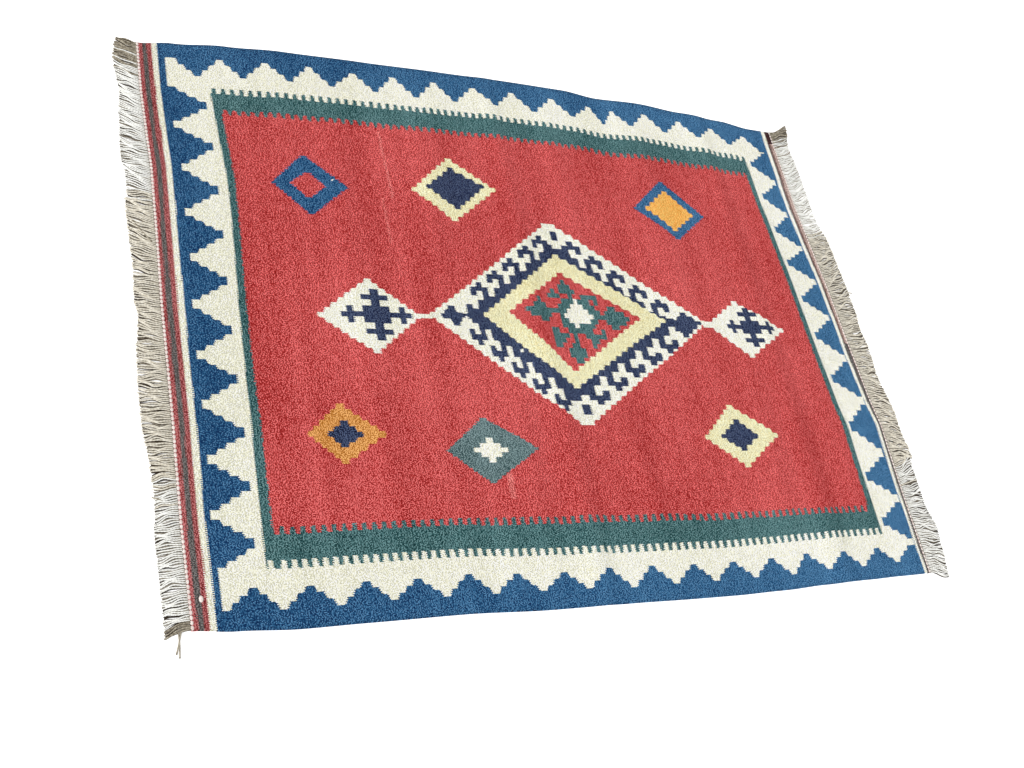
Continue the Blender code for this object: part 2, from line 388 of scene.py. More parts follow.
# Each cotton's dark and light colour (sRGB, 0 to 255).
COTTONS = (
    ("white", (238, 238, 231), (255, 255, 252)),
    ("beige", (206, 198, 180), (248, 243, 230)),
    # Painted shade on the cords of the far corners; also the grey of the near left corner's and the loose
    # cords.
    ("painted_shade_grey", (112, 102, 84), (198, 190, 172)),
    # Painted shade: the inner and the shaded cottons are dark, and they show as the shadows between the cords
    # on top.
    ("inner", (112, 104, 90), (170, 162, 146)),
    ("shaded", (44, 36, 28), (84, 73, 60)),
    ("blush", (222, 200, 192), (252, 244, 238)),
)
COTTON_NAMES = [row[0] for row in COTTONS]

# ---------------------------------------------------------------------------------------------------------
# Floor, light and camera

FLOOR_SIZE = 14.0
FLOOR_DEPTH = 0.0002
FLOOR_SHADE = 0.9
FLOOR_GLOW = 0.6
CAMERA_PLACE = (-1.06157, -0.95707, 1.58994)
CAMERA_TURN_DEG = (29.9588, -25.0081, -12.6906)
CAMERA_LENS_MM = 42.76
SENSOR_WIDTH_MM = 36.0
SUN_TURN_DEG = (8, -52, 0)
SUN_STRENGTH = 2.3
SUN_BREADTH_DEG = 12
SKY_STRENGTH = 0.62


# ---------------------------------------------------------------------------------------------------------
# Reading the tables

def column(table, names, name):
    """One named column of a table."""
    place = names.index(name)
    return np.array([row[place] for row in table], dtype=float)


def edge(at, pairs_mm):
    """An edge line's place, in metres, read straight between its pairs."""
    pairs = np.array(pairs_mm, dtype=float) * MM
    return np.interp(at, pairs[:, 0], pairs[:, 1])


def eased(at, stations, values):
    """The value at a place, eased between a table's rows."""
    row = np.clip(np.searchsorted(stations, at) - 1, 0, len(stations) - 2)
    share = np.clip((at - stations[row]) / (stations[row + 1] - stations[row]), 0, 1)
    return values[row] + (values[row + 1] - values[row]) * (3 - 2 * share) * share * share


# ---------------------------------------------------------------------------------------------------------
# Where the cloth lies

def end_line(across, side):
    """Where a woven end lies in plan. across is 0 to 1 from the near selvedge to the far one."""
    stations = column(ENDS_MM, END_COLUMNS, "across") * MM
    offset = np.interp(across * CLOTH_WIDTH, stations, column(ENDS_MM, END_COLUMNS, side) * MM)
    return offset + (CLOTH_LENGTH if side == "right" else 0.0)


def selvedge_out(x, side):
    """How far a selvedge stands out at x."""
    stations = column(SELVEDGES_MM, SELVEDGE_COLUMNS, "along") * MM
    return eased(x, stations, column(SELVEDGES_MM, SELVEDGE_COLUMNS, side + "_out") * MM)


def cloth_place(along, across):
    """Where a place on the cloth, 0 to 1 both ways, lies in plan."""
    left, right = end_line(across, "left"), end_line(across, "right")
    x = left + (right - left) * along
    near, far = -selvedge_out(x, "near"), CLOTH_WIDTH + selvedge_out(x, "far")
    return x, near + (far - near) * across


def ridge_height(x, y):
    """How high the underside of the cloth stands off the floor."""
    height = np.zeros_like(x)
    for row in RIDGES_MM:
        ridge = {name: value * MM for name, value in zip(RIDGE_COLUMNS, row)}
        start, stop = ridge["near_across"], ridge["far_across"]
        share = np.clip((y - start) / (stop - start), 0, 1)
        away = x - ridge["near_along"] - (ridge["far_along"] - ridge["near_along"]) * share
        flank = np.where(away > 0, ridge["right"], ridge["left"])
        fade = np.clip(np.minimum(share, 1 - share) * (stop - start) / RIDGE_FADE, 0, 1)
        swell = 0.5 + 0.5 * np.cos(math.pi * np.clip(away / flank, -1, 1))
        height = np.maximum(height, ridge["height"] * fade * swell)
    return height


def woven_place(place_mm):
    """Where a place in plan lies in the weave, in metres."""
    x, y = (part * MM for part in place_mm)
    near, far = selvedge_out(x, "near"), selvedge_out(x, "far")
    across = (y + near) / (CLOTH_WIDTH + near + far)
    left, right = end_line(across, "left"), end_line(across, "right")
    return (x - left) / (right - left) * CLOTH_LENGTH, across * CLOTH_WIDTH


# ---------------------------------------------------------------------------------------------------------
# The pattern. u and v are the places of all cells in the weave, along and across; each function says which
# cells a form covers.

def repeat_middles(first_mm, runs):
    """The middles of a row of repeats."""
    widths = [width for count, width in runs for _ in range(count)]
    return (first_mm + np.concatenate(([0.0], np.cumsum(widths)))) * MM


def hand_slips(count, seed):
    """How far each of so many turns came out from where it was meant."""
    return np.random.default_rng(seed).uniform(-HAND_SLIP, HAND_SLIP, count)


def stepped_wave(at, wave, steps, riser_spread, tread_lean, seed, one_more=False):
    """The height of a wave that climbs in steps between its outer turns and its inner ones midway."""
    first, runs, outer_line, inner_line = wave
    tips = repeat_middles(first, runs)
    turns = np.interp(np.arange(2 * len(tips) - 1) / 2, np.arange(len(tips)), tips)
    if one_more:
        turns = np.append(turns, 2 * turns[-1] - turns[-2])
    heights = np.where(np.arange(len(turns)) % 2 == 0, edge(turns, outer_line), edge(turns, inner_line))
    turns = turns + hand_slips(len(turns), seed)
    heights = heights + hand_slips(len(turns), seed + 1)

    stretch = np.clip(np.searchsorted(turns, at) - 1, 0, len(turns) - 2)
    share = np.clip((at - turns[stretch]) / (turns[stretch + 1] - turns[stretch]), 0, 1)
    leaving_outer = stretch % 2 == 0
    from_outer = np.where(leaving_outer, share, 1 - share)
    level = sum(np.clip((from_outer - place) / riser_spread + 0.5, 0, 1) for place in steps)
    bounds = np.array((0.0,) + steps + (1.0,))
    tread = np.clip(np.searchsorted(bounds, from_outer) - 1, 0, len(steps))
    within = (from_outer - bounds[tread]) / (bounds[tread + 1] - bounds[tread]) - 0.5
    level = level + np.where((tread > 0) & (tread < len(steps)), tread_lean * within, 0)
    before, after = heights[stretch], heights[stretch + 1]
    outer, inner = np.where(leaving_outer, before, after), np.where(leaving_outer, after, before)
    return outer + (inner - outer) * level / len(steps)


def toothed(u, line, teeth):
    """A line along the rug with teeth reaching past it."""
    reach, root_width, tip_width, first, runs = teeth
    middles = repeat_middles(first, runs)
    nearest = np.rint(np.interp(u, middles, np.arange(len(middles)))).astype(int)
    from_middle = np.abs(u - middles[nearest])
    share = (root_width * MM / 2 - from_middle) / ((root_width - tip_width) * MM / 2)
    return edge(u, line) + reach * MM * np.clip(share, 0, 1)


def stepped_diamond(u, v, tips_mm, step=STEP, lean=LEAN, half_tip=HALF_TIP):
    """The cells of a diamond whose flanks climb in steps that lean along them. Its tips may be uneven."""
    left, far, right, near = (woven_place(tip) for tip in tips_mm)

    def flank(side, inward):
        upper = v >= side[1]
        rise = np.where(upper, far[1] - side[1], side[1] - near[1])
        run = np.where(upper, far[0], near[0]) - inward * half_tip - side[0]
        rows = np.maximum(1, np.round(rise / step - 0.5))
        place = np.abs(v - side[1]) * (rows + 0.5) / rise + 0.5
        row = np.floor(place)
        climbed = np.clip(row + lean * (place - row - 0.5), 0, rows)
        return side[0] + run * climbed / rows

    return (v <= far[1]) & (v >= near[1]) & (u >= flank(left, 1)) & (u <= flank(right, -1))


def hook_band(u, v, quarter):
    """The navy band with its hooks in one quarter of the medallion."""
    outward = 1 if quarter.startswith("far") else -1
    towards = 1 if quarter.endswith("left") else -1

    def sheared(along, across):
        return along - HOOK_LEAN * outward * towards * across

    (first_u, first_v), (last_u, last_v) = (woven_place(place) for place in HOOK_ENDS[quarter])
    width = len(HOOK[0])
    cells_between = width * (HOOKS_PER_QUARTER - 1)
    start, stop = sheared(first_u, first_v), sheared(last_u, last_v)
    cell = np.floor(width - 0.5 + cells_between * (sheared(u, v) - start) / (stop - start)).astype(int)
    out = np.floor(2 * width - 0.5 + cells_between * (v - first_v) / (last_v - first_v)).astype(int)
    row = width - (out - cell)
    hook = np.array([[mark == "#" for mark in line] for line in HOOK])
    chart = hook[np.clip(row, 0, len(HOOK) - 1), cell % width] & (row >= 0)
    last_cell = width * HOOKS_PER_QUARTER
    band = np.where(row >= len(HOOK), True, chart)
    band = np.where(cell <= 0, row >= width, band)
    band = np.where(cell >= last_cell, out <= np.maximum(2 * last_cell + 1 - cell, last_cell), band)
    return band & (cell >= 0)


def charted(u, v, chart, middle_mm, cell_length, cell_width, mark):
    """The cells that one mark of a motif's chart covers."""
    marks = np.array([[sign == mark for sign in line] for line in chart])
    rows, columns = marks.shape
    middle_u, middle_v = woven_place(middle_mm)
    column_number = np.floor((u - middle_u) / (cell_length * MM) + columns / 2).astype(int)
    row_number = np.floor((middle_v - v) / (cell_width * MM) + rows / 2).astype(int)
    inside = (column_number >= 0) & (column_number < columns) & (row_number >= 0) & (row_number < rows)
    return inside & marks[np.clip(row_number, 0, rows - 1), np.clip(column_number, 0, columns - 1)]


def bar(u, v, middle_mm, length, width):
    """The cells of a short bar."""
    middle_u, middle_v = woven_place(middle_mm)
    return (np.abs(u - middle_u) < length * MM / 2) & (np.abs(v - middle_v) < width * MM / 2)


def wandering(at, seed):
    """The slow wander of a line that was woven by eye."""
    bends = np.random.default_rng(seed).uniform(-WANDER, WANDER, BENDS)
    return np.interp(at, (np.arange(BENDS) - BENDS_BEFORE) * BEND_SPACING, bends)


def weave_border(yarn, number, u, v, frayed):
    """The ivory between the stepped waves, the green frame and the red field, on a blue ground."""
    long_side = (LONG_SIDE_STEPS, RISER_SPREAD, 0)
    short_side = (SHORT_SIDE_STEPS, SHARP_RISER, TREAD_LEAN)
    ivory = v < stepped_wave(u, FAR_WAVE, *long_side, SEEDS["far_wave"], one_more=True)
    ivory &= v > stepped_wave(u, NEAR_WAVE, *long_side, SEEDS["near_wave"], one_more=True)
    ivory &= u > stepped_wave(v, LEFT_WAVE, *short_side, SEEDS["left_wave"])
    ivory &= u < stepped_wave(v, RIGHT_WAVE, *short_side, SEEDS["right_wave"])
    yarn[ivory] = number["ivory"]
    green = (u > edge(v, LEFT_GREEN)) & (u < edge(v, RIGHT_GREEN))
    green &= (v < toothed(u, FAR_GREEN, FAR_GREEN_TEETH)) & (v > toothed(u, NEAR_GREEN, NEAR_IVORY_TEETH))
    yarn[green] = number["green"]
    red = (frayed > edge(v, LEFT_RED)) & (frayed < edge(v, RIGHT_RED))
    red &= (v < toothed(u, FAR_RED, FAR_RED_TEETH)) & (v > toothed(u, NEAR_RED, NEAR_RED_TEETH))
    yarn[red] = number["red"]


def weave_motifs(yarn, number, u, v, frayed):
    """The streaks of the field, the medallion with its hooks and pendants, and the small diamonds."""
    for middle, width, length in PALE_STREAKS:
        yarn[bar(frayed, v, middle, width, length) & (yarn == number["red"])] = number["pale_red"]
    for name, *tips in FINE_DIAMONDS:
        yarn[stepped_diamond(frayed, v, tips, FINE_STEP, FINE_LEAN)] = number[name]
    for name, *tips in PENDANTS + SMALL_DIAMONDS:
        yarn[stepped_diamond(u, v, tips)] = number[name]
    medallion = stepped_diamond(u, v, MEDALLION[1:], half_tip=BLUNT_HALF_TIP)
    yarn[medallion] = number[MEDALLION[0]]
    left_tip, far_tip, right_tip, near_tip = (woven_place(tip) for tip in MEDALLION[1:])
    axis = np.interp(v, (near_tip[1], far_tip[1]), (near_tip[0], far_tip[0]))
    middle_v = (left_tip[1] + right_tip[1]) / 2
    for quarter in HOOK_ENDS:
        far, left = quarter.startswith("far"), quarter.endswith("left")
        here = (v > middle_v if far else v <= middle_v) & (u < axis if left else u >= axis)
        yarn[medallion & here & hook_band(u, v, quarter)] = number["navy"]
    for name, *tips in SIDE_DIAMONDS:
        yarn[stepped_diamond(u, v, tips)] = number[name]
    for name, middle, length, width in BARS:
        yarn[bar(u, v, middle, length, width)] = number[name]
    for name, *tips in (MEDALLION_YELLOW, MEDALLION_RED):
        yarn[stepped_diamond(u, v, tips)] = number[name]
    for chart, name, middle, cell_length, cell_width in CHARTED:
        yarn[charted(u, v, chart, middle, cell_length, cell_width, "#")] = number[name]
        yarn[charted(u, v, chart, middle, cell_length, cell_width, "o")] = number["ivory"]
    for middle, radius in FLECKS:
        middle_u, middle_v = woven_place(middle)
        yarn[np.hypot(u - middle_u, v - middle_v) < radius * MM] = number["ivory"]


def weave_bands(yarn, number, u, v):
    """The striped bands at the two ends, and painted shade on the far corner of the right one."""
    for place, (name, upto) in reversed(list(enumerate(LEFT_STRIPES))):
        yarn[u < upto * MM + wandering(v, SEEDS["left_stripes"] + place)] = number[name]
    blue_edge = edge(v, RIGHT_BLUE) + wandering(v, SEEDS["right_blue"])
    ivory_edge = blue_edge + edge(v, RIGHT_IVORY_WIDTH)
    yarn[u > blue_edge] = number["ivory"]
    share = (u - ivory_edge) / (CLOTH_LENGTH - ivory_edge)
    low = 0.0
    for high, stripes in RIGHT_BANDS:
        for name, upto in reversed(stripes):
            yarn[(share > 0) & (share < upto) & (v > low * MM) & (v <= high * MM)] = number[name]
        low = high
    yarn[(share > 0) & (v > PAINTED_SHADE_CORNER_FROM * MM)] = number["dusky"]


def weave_pattern():
    """The yarn of every cell, as its number in the table of yarns."""
    u = (np.arange(CELLS_ALONG) + 0.5) / CELLS_ALONG * CLOTH_LENGTH
    v = (np.arange(CELLS_ACROSS) + 0.5) / CELLS_ACROSS * CLOTH_WIDTH
    u, v = np.meshgrid(u, v, indexing="ij")
    # Along an edge that runs with the weft, every second rib starts later; a frayed one strays more.
    u = u + np.where(np.arange(CELLS_ACROSS) % 2 == 0, SERRATION, -SERRATION)
    frayed = u + np.random.default_rng(SEEDS["fray"]).uniform(-FRAY, FRAY, CELLS_ACROSS)

    number = {name: place for place, name in enumerate(YARN_NAMES)}
    yarn = np.full(u.shape, number["blue"])
    weave_border(yarn, number, u, v, frayed)
    weave_motifs(yarn, number, u, v, frayed)
    weave_bands(yarn, number, u, v)
    return yarn


# ---------------------------------------------------------------------------------------------------------
# Materials

def linear(colour):
    """An sRGB colour of 0 to 255 as the shader wants it."""
    shares = [part / 255 for part in colour]
    parts = [share / 12.92 if share <= 0.04045 else ((share + 0.055) / 1.055) ** 2.4 for share in shares]
    return (*parts, 1.0)


def add_node(tree, kind, place, values=(), **settings):
    """Adds one shader node, sets it, and fills or links its inputs by name or number."""
    node = tree.nodes.new(kind)
    node.location = place
    for name, value in settings.items():
        setattr(node, name, value)
    for socket, value in values:
        if isinstance(value, bpy.types.NodeSocket):
            tree.links.new(value, node.inputs[socket])
        else:
            node.inputs[socket].default_value = value
    return node


def add_math(tree, operation, place, *values, clamp=False):
    """Adds a math node and gives its result."""
    node = add_node(
        tree, "ShaderNodeMath", place, list(enumerate(values)), operation=operation, use_clamp=clamp)
    return node.outputs[0]


def new_material(name, roughness, shine):
    """A new material, its node tree and its shader."""
    material = bpy.data.materials.new(name)
    material.use_nodes = True
    shader = material.node_tree.nodes["Principled BSDF"]
    shader.inputs["Roughness"].default_value = roughness
    shader.inputs["Specular IOR Level"].default_value = shine
    return material, material.node_tree, shader


def make_weave_group():
    """What all the wool yarns share, read from the weave's own map in metres: the ribs' height, and a tone
    from 0 (dark) to 1 (pale) made of single beads of weft, painted shade from the beads beside them, streaks
    along the weft, dye bands and abrash, and painted light that pales it from the left end to the right one."""
    group = bpy.data.node_groups.new("weft_faced_weave", "ShaderNodeTree")
    group.interface.new_socket("Fade", in_out="INPUT", socket_type="NodeSocketFloat")
    group.interface.new_socket("Tone", in_out="OUTPUT", socket_type="NodeSocketFloat")
    group.interface.new_socket("Height", in_out="OUTPUT", socket_type="NodeSocketFloat")
    fade = add_node(group, "NodeGroupInput", (-1200, -300)).outputs["Fade"]
    weave = add_node(group, "ShaderNodeUVMap", (-1200, 0), uv_map="weave").outputs[0]
    parts = add_node(group, "ShaderNodeSeparateXYZ", (-1000, 0), [(0, weave)])
    along, across = parts.outputs[0], parts.outputs[1]

    # The beads of every second rib sit half a bead further along.
    rib = add_math(group, "DIVIDE", (-800, 200), across, RIB)
    rib_number = add_math(group, "FLOOR", (-600, 200), rib)
    second_rib = add_math(group, "MODULO", (-700, 50), rib_number, 2.0)
    half_bead = add_math(group, "MULTIPLY", (-600, 50), second_rib, 0.5)
    beads_along = add_math(group, "DIVIDE", (-800, 0), along, WEFT)
    weft = add_math(group, "ADD", (-500, 0), beads_along, half_bead)
    weft_number = add_math(group, "FLOOR", (-450, 0), weft)
    bead_place = add_node(
        group, "ShaderNodeCombineXYZ", (-400, 100), [(0, rib_number), (1, weft_number)]).outputs[0]

    def bead_tone(away):
        place = add_node(
            group, "ShaderNodeVectorMath", (-300, 100), [(0, bead_place), (1, (*away, 0.0))],
            operation="ADD").outputs[0]
        return add_node(
            group, "ShaderNodeTexWhiteNoise", (-200, 100), [(0, place)], noise_dimensions="2D").outputs[0]

    def noise(place, scale_along, scale_across, detail):
        stretched = add_node(
            group, "ShaderNodeVectorMath", (place[0] - 200, place[1]),
            [(0, weave), (1, (scale_along, scale_across, 0.0))], operation="MULTIPLY").outputs[0]
        return add_node(
            group, "ShaderNodeTexNoise", place,
            [("Vector", stretched), ("Scale", 1.0), ("Detail", detail)], noise_dimensions="2D").outputs[0]

    streak = noise((-200, -150), *STREAKS)
    band = noise((-200, -400), *BANDS)
    abrash = noise((-200, -900), *ABRASH)
    tone = add_math(group, "MULTIPLY_ADD", (0, -100), bead_tone((0, 0)), BEAD_SHARE, 0.5 - TONE_SHARES / 2)
    # Painted shade: each of the four beads beside this one darkens it a little.
    shares = [(bead_tone(away), BESIDE_SHARE) for away in BEADS_BESIDE]
    shares += [(streak, STREAK_SHARE), (band, BAND_SHARE), (abrash, ABRASH_SHARE)]
    for place, (source, share) in enumerate(shares):
        tone = add_math(group, "MULTIPLY_ADD", (200, -100 * place), source, share, tone)
    # Painted light: the tone pales from the left end to the right one, as much as the yarn's share says.
    from_middle = add_math(group, "MULTIPLY_ADD", (0, -800), along, 1 / CLOTH_LENGTH, -0.5)
    tone = add_math(group, "MULTIPLY_ADD", (400, 0), from_middle, fade, tone, clamp=True)

    def swell(count, level):
        turned = add_math(group, "MULTIPLY", (-600, level), count, math.pi)
        wave = add_math(group, "SINE", (-400, level), turned)
        return add_math(group, "ABSOLUTE", (-200, level), wave)

    height = add_math(group, "MULTIPLY_ADD", (200, 400), swell(weft, 350), WEFT_RELIEF, swell(rib, 500))
    add_node(group, "NodeGroupOutput", (700, 0), [("Tone", tone), ("Height", height)])
    return group


def make_wool(name, middle, spread, fade, group):
    """A wool yarn: its middle colour, and as far to the dark and to the pale side as its tone strays."""
    material, tree, shader = new_material(name + "_wool", ROUGHNESS, WOOL_SHINE)
    weave = add_node(tree, "ShaderNodeGroup", (-800, 0), node_tree=group)
    # fade is painted light: how much this yarn pales from the left end to the right one.
    weave.inputs["Fade"].default_value = fade
    tones = add_node(tree, "ShaderNodeValToRGB", (-500, 100), [("Fac", weave.outputs["Tone"])])
    ramp = tones.color_ramp
    ramp.elements.new(0.5)
    for stop, away in zip(ramp.elements, (-spread, 0, spread)):
        stop.color = linear([min(255, max(DARKEST, part + away)) for part in middle])
    relief = [("Height", weave.outputs["Height"]), ("Strength", BUMP_STRENGTH), ("Distance", BUMP_HEIGHT)]
    bump = add_node(tree, "ShaderNodeBump", (-400, -200), relief).outputs[0]
    tree.links.new(tones.outputs["Color"], shader.inputs["Base Color"])
    tree.links.new(bump, shader.inputs["Normal"])
    return material


def make_cotton(name, dark, light):
    """A cotton that changes between its dark and its light colour from place to place."""
    material, tree, shader = new_material(name + "_cotton", ROUGHNESS, COTTON_SHINE)
    where = add_node(tree, "ShaderNodeTexCoord", (-900, 0)).outputs["Object"]
    noise = add_node(
        tree, "ShaderNodeTexNoise", (-700, 0),
        [("Vector", where), ("Scale", COTTON_SWELLS), ("Detail", 2.0)]).outputs[0]
    spread = add_math(tree, "MULTIPLY_ADD", (-500, 0), noise, *COTTON_CONTRAST, clamp=True)
    colour = add_node(
        tree, "ShaderNodeMix", (-300, 100),
        [("Factor", spread), (6, linear(dark)), (7, linear(light))], data_type="RGBA").outputs[2]
    tree.links.new(colour, shader.inputs["Base Color"])
    return material


# ---------------------------------------------------------------------------------------------------------
# The woven cloth

def in_own_frame(x, y, z):
    """A place in plan as the part's frame has it."""
    return x - OUTLINE_MIDDLE[0], y - OUTLINE_MIDDLE[1], z


def add_piece(name, bm, materials):
    """Puts a finished bmesh into the scene as one piece."""
    mesh = bpy.data.meshes.new(name)
    bm.to_mesh(mesh)
    bm.free()
    for material in materials:
        mesh.materials.append(material)
    piece = bpy.data.objects.new(name, mesh)
    bpy.context.scene.collection.objects.link(piece)
    return piece


def merge_plain_cells(bm):
    """Joins neighbouring cells of one yarn into faces of up to one step each way, with straight edges."""

    def on_step_line(one, other):
        for axis, count in ((0, CELLS_ALONG), (1, CELLS_ACROSS)):
            first, last = (round(vertex.co[axis] * count) for vertex in (one, other))
            if first == last and first % STEP_CELLS[axis] == 0:
                return True
        return False

    def is_straight(vertex):
        one, other = (line.other_vert(vertex).co - vertex.co for line in vertex.link_edges)
        return one.length > 0 and abs(one.normalized().dot(other.normalized()) + 1) < STRAIGHT

    plain = [
        line for line in bm.edges
        if len(line.link_faces) == 2
        and line.link_faces[0].material_index == line.link_faces[1].material_index
        and not on_step_line(*line.verts)]
    bmesh.ops.dissolve_edges(bm, edges=plain, use_verts=False)
    straight = [vertex for vertex in bm.verts if len(vertex.link_edges) == 2 and is_straight(vertex)]
    bmesh.ops.dissolve_verts(bm, verts=straight)


def make_cloth(wools):
    """Weaves the cloth cell by cell as a flat sheet, then lays it on its outline and folds."""
    yarn = weave_pattern()
    bm = bmesh.new()
    bmesh.ops.create_grid(
        bm, x_segments=CELLS_ALONG, y_segments=CELLS_ACROSS, size=0.5,
        matrix=Matrix.Translation((0.5, 0.5, 0)))
    for cell in bm.faces:
        middle = cell.calc_center_median()
        cell.material_index = int(yarn[int(middle.x * CELLS_ALONG), int(middle.y * CELLS_ACROSS)])
    merge_plain_cells(bm)

    weave_map = bm.loops.layers.uv.new("weave")
    for cell in bm.faces:
        cell.smooth = True
        for corner in cell.loops:
            corner[weave_map].uv = (corner.vert.co.x * CLOTH_LENGTH, corner.vert.co.y * CLOTH_WIDTH)
    vertices = list(bm.verts)
    x, y = cloth_place(
        np.array([vertex.co.x for vertex in vertices]), np.array([vertex.co.y for vertex in vertices]))
    for vertex, place in zip(vertices, zip(*in_own_frame(x, y, ridge_height(x, y)))):
        vertex.co = place

    cloth = add_piece("woven_cloth", bm, wools)
    thickness = cloth.modifiers.new("Thickness", "SOLIDIFY")
    thickness.thickness = CLOTH_THICKNESS
    thickness.offset = 1.0
    return cloth


# ---------------------------------------------------------------------------------------------------------
# The fringes

def fringe_value(across, side, what):
    """A fringe's length or lean at a place across."""
    stations = column(FRINGE_MM, FRINGE_COLUMNS, "across") * MM
    values = column(FRINGE_MM, FRINGE_COLUMNS, side + "_" + what) * MM
    return float(eased(across * CLOTH_WIDTH, stations, values))


def all_partings(side, random):
    """The partings of one end in metres: the ones in the table, and finer ones at even chances."""
    partings = [tuple(part * MM for part in row) for row in PARTINGS_MM[side]]
    for _ in range(FINE_PARTINGS[side]):
        partings.append((random.uniform(0, CLOTH_WIDTH), FINE_PARTING_GAP, random.uniform(*FINE_WIDEST_AT)))
    return partings


def parted(y, reach, partings):
    """How far a cord that starts at y is pushed aside by the partings near it, once it has reached so far."""
    push = 0.0
    for place, half_gap, widest_at in partings:
        away = y - place
        opening = max(0.0, 1 - abs(reach - widest_at) / (PARTING_LENGTH * widest_at))
        push += math.copysign(half_gap * opening * math.exp(-abs(away) / PARTING_BREADTH), away)
    return push


def swayed(y, reach, phases):
    """How far neighbouring cords have swayed together."""
    growth = min(1.0, reach / FULL_SWAY_AT)
    return growth * sum(
        size * MM * math.sin(2 * math.pi * (y / (across * MM) + reach / (outwards * MM)) + phase)
        for (across, outwards, size), phase in zip(SWAYS_MM, phases))


def cord_path(across, side, reach_share, points, top, tip, partings, phases, random):
    """Points along one cord's middle line, from its knot to its tip."""
    outward = -1 if side == "left" else 1
    root_x, root_y = (float(place) for place in cloth_place(0.0 if side == "left" else 1.0, across))
    length = fringe_value(across, side, "length") * reach_share + random.uniform(*LENGTH_STRAY)
    lean = fringe_value(across, side, "lean") + random.uniform(-LEAN_STRAY, LEAN_STRAY)
    path = []
    for share in np.linspace(0, 1, points):
        reach = length * share
        y = root_y + lean * (reach / LEAN_MEASURED_AT) ** LEAN_CURVE
        y += parted(root_y, reach, partings) + swayed(root_y, reach, phases)
        risen = min(1.0, share * RISE_RATE) ** RISE_CURVE
        drooped = max(0.0, share - DROOP_FROM) / (1 - DROOP_FROM)
        height = ROOT_HEIGHT + (top - ROOT_HEIGHT) * risen + (tip - top) * drooped
        path.append((root_x + outward * reach, float(y), height))
    return path


def add_strand(curve, points, cotton, turn=None):
    """Adds one tube to a curve: a plain one, or one ply that winds round the line from a starting turn."""
    if turn is not None:
        wound = []
        travelled = 0.0
        for place, (x, y, z) in enumerate(points):
            if place:
                travelled += math.dist(points[place - 1], points[place])
            angle = turn + 2 * math.pi * travelled / TWIST_PITCH
            opened = min(1.0, travelled / CLOSED_REACH)
            away = TWIST_RADIUS * (CLOSED_TWIST + (1 - CLOSED_TWIST) * opened)
            wound.append((x, y + away * math.cos(angle), z + away * math.sin(angle)))
        points = wound
    strand = curve.splines.new("POLY")
    strand.points.add(len(points) - 1)
    for point, place in zip(strand.points, points):
        point.co = (*in_own_frame(*place), 1.0)
    strand.material_index = COTTON_NAMES.index(cotton)
    strand.use_smooth = True


def new_cords(name, radius, sides_level, cottons):
    """An empty piece of cords, which add_strand fills."""
    curve = bpy.data.curves.new(name, "CURVE")
    curve.dimensions = "3D"
    curve.bevel_depth = radius
    curve.bevel_resolution = sides_level
    curve.use_fill_caps = True
    for cotton in cottons:
        curve.materials.append(cotton)
    cords = bpy.data.objects.new(name, curve)
    bpy.context.scene.collection.objects.link(cords)
    return cords


def make_knots(side, cottons):
    """The row of small knots at the roots, and on the left stripes the one larger knot."""
    bm = bmesh.new()
    toward_cloth = 1 if side == "left" else -1
    inset, half_sizes = ROOT_KNOTS[side]
    places = []
    for number in range(KNOTS_PER_END):
        x, y = cloth_place(0.0 if side == "left" else 1.0, (number + 0.5) / KNOTS_PER_END)
        places.append(((float(x) + toward_cloth * inset, float(y), CLOTH_THICKNESS), half_sizes))
    if side == "left":
        places.append((STRIPE_KNOT_PLACE, STRIPE_KNOT_HALF_SIZES))
    for place, size in places:
        where = Matrix.Translation(in_own_frame(*place)) @ Matrix.Diagonal((*size, 1))
        bmesh.ops.create_icosphere(bm, subdivisions=2, radius=1.0, matrix=where)
    for face in bm.faces:
        face.smooth = True
    return add_piece("knots_" + side, bm, [cottons[COTTON_NAMES.index("blush")]])


def make_fringe(side, cottons):
    """One end's pieces: two-ply cords on top, inner and shaded ones under them in painted-shade colours,
    loose ones, and the knots.
    """
    random = np.random.default_rng(SEEDS["fringe_" + side])
    partings = all_partings(side, random)
    phases = random.uniform(0, 2 * math.pi, len(SWAYS_MM))
    top_cords = new_cords("twisted_cords_" + side, PLY_RADIUS, ROUND_SIDES, cottons)
    inner_cords = new_cords("inner_cords_" + side, INNER_CORD_RADIUS, ROUND_SIDES, cottons)
    shaded_cords = new_cords("shaded_cords_" + side, SHADED_CORD_RADIUS, COARSE_SIDES, cottons)
    thin_from, thin_upto = THIN_STRETCHES_MM[side]
    for number in range(CORDS_PER_END):
        across = (number + 0.5) / CORDS_PER_END + random.uniform(-ROOT_STRAY, ROOT_STRAY)
        mingled = across * WIDTH_MM + random.normal(0, MINGLED_MM)
        cotton = next(name for upto, name in COTTON_STRETCHES[side] if mingled <= upto)
        top = random.uniform(*TOP_HEIGHTS)
        path = cord_path(across, side, 1.0, CORD_POINTS, top, TOP_TIP_HEIGHT, partings, phases, random)
        turn = random.uniform(0, math.pi)
        for ply in range(2):
            add_strand(top_cords.data, path, cotton, turn + ply * math.pi)
        between = min((number + random.uniform(*BETWEEN_CORDS)) / CORDS_PER_END, 1.0)
        heights = (INNER_HEIGHT, INNER_TIP_HEIGHT)
        path = cord_path(between, side, INNER_REACH, PLAIN_POINTS, *heights, partings, phases, random)
        # The inner cords' colour is painted shade between the cords on top.
        add_strand(inner_cords.data, path, "inner")
        if thin_from < across * WIDTH_MM < thin_upto:
            continue
        # The shaded cords next to the floor are painted shade under the others.
        path = cord_path(
            across, side, SHADED_REACH, PLAIN_POINTS, SHADED_HEIGHT, SHADED_HEIGHT, (), phases, random)
        add_strand(shaded_cords.data, path, "shaded")
    loose_cords = new_cords("loose_cords_" + side, LOOSE_CORD_RADIUS, ROUND_SIDES, cottons)
    for line in LOOSE_CORDS_MM[side]:
        add_strand(loose_cords.data, [tuple(part * MM for part in place) for place in line], "painted_shade_grey")
    return [top_cords, inner_cords, shaded_cords, loose_cords, make_knots(side, cottons)]


# ---------------------------------------------------------------------------------------------------------
# Floor, light and camera

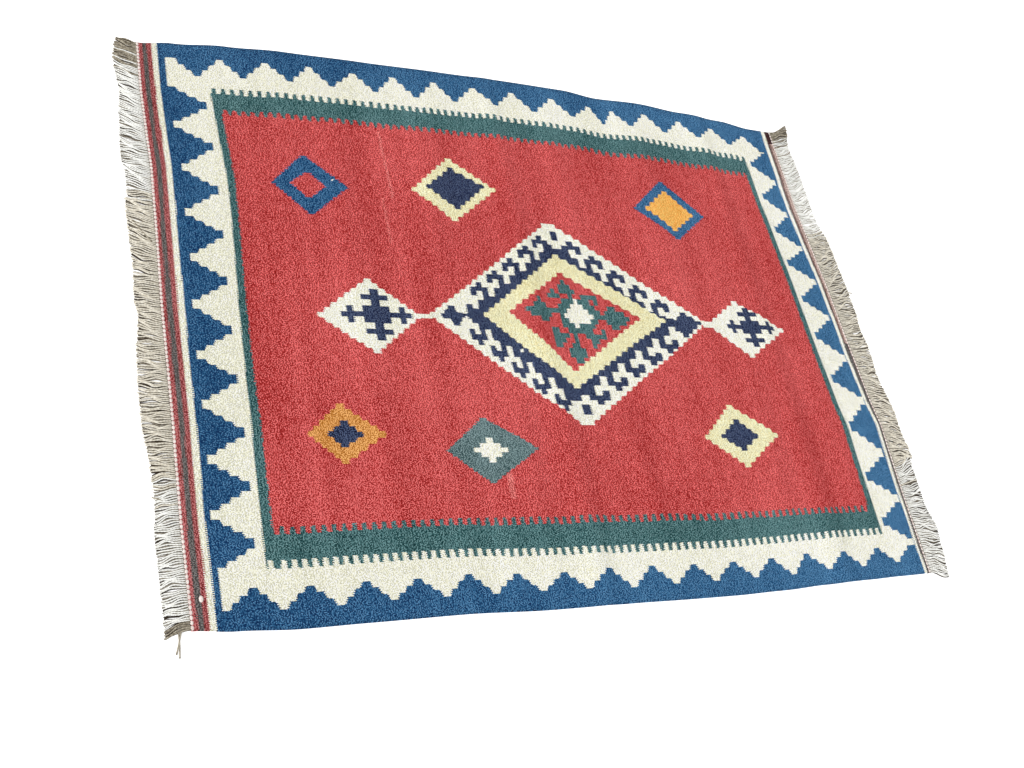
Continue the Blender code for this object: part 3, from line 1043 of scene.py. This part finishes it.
def make_floor():
    bm = bmesh.new()
    bmesh.ops.create_grid(bm, x_segments=1, y_segments=1, size=FLOOR_SIZE / 2)
    material, _, shader = new_material("white_floor", 1.0, 0.0)
    shader.inputs["Base Color"].default_value = (FLOOR_SHADE, FLOOR_SHADE, FLOOR_SHADE, 1)
    shader.inputs["Emission Color"].default_value = (1, 1, 1, 1)
    shader.inputs["Emission Strength"].default_value = FLOOR_GLOW
    floor = add_piece("floor", bm, [material])
    floor.location.z = -FLOOR_DEPTH


def make_light():
    scene = bpy.context.scene
    world = bpy.data.worlds.new("white_sky")
    world.use_nodes = True
    background = world.node_tree.nodes["Background"]
    background.inputs["Color"].default_value = (1, 1, 1, 1)
    background.inputs["Strength"].default_value = SKY_STRENGTH
    scene.world = world
    sun = bpy.data.lights.new("window_light", "SUN")
    sun.energy = SUN_STRENGTH
    sun.angle = math.radians(SUN_BREADTH_DEG)
    lamp = bpy.data.objects.new("window_light", sun)
    lamp.rotation_euler = [math.radians(turn) for turn in SUN_TURN_DEG]
    scene.collection.objects.link(lamp)


def make_camera():
    scene = bpy.context.scene
    data = bpy.data.cameras.new("camera")
    data.lens = CAMERA_LENS_MM
    data.sensor_width = SENSOR_WIDTH_MM
    camera = bpy.data.objects.new("camera", data)
    camera.location = CAMERA_PLACE
    camera.rotation_euler = [math.radians(turn) for turn in CAMERA_TURN_DEG]
    scene.collection.objects.link(camera)
    scene.camera = camera
    scene.view_settings.view_transform = "Standard"
    scene.view_settings.look = "None"


# ---------------------------------------------------------------------------------------------------------
# The scene


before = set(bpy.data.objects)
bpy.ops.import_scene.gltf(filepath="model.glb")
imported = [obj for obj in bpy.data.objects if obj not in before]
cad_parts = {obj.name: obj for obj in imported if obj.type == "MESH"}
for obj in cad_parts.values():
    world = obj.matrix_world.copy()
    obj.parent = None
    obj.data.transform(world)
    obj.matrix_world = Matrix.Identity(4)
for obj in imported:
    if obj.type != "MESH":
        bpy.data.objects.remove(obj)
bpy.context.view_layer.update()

make_camera()
make_floor()
make_light()

weave_group = make_weave_group()
cloth = make_cloth([make_wool(*yarn, weave_group) for yarn in YARNS])
cottons = [make_cotton(name, dark, light) for name, dark, light in COTTONS]
fringes = {side: make_fringe(side, cottons) for side in ("left", "right")}

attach(cloth, "root")
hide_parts("rug_cloth")
for side, pieces in fringes.items():
    for piece in pieces:
        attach(piece, "root")
    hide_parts("fringe_" + side)
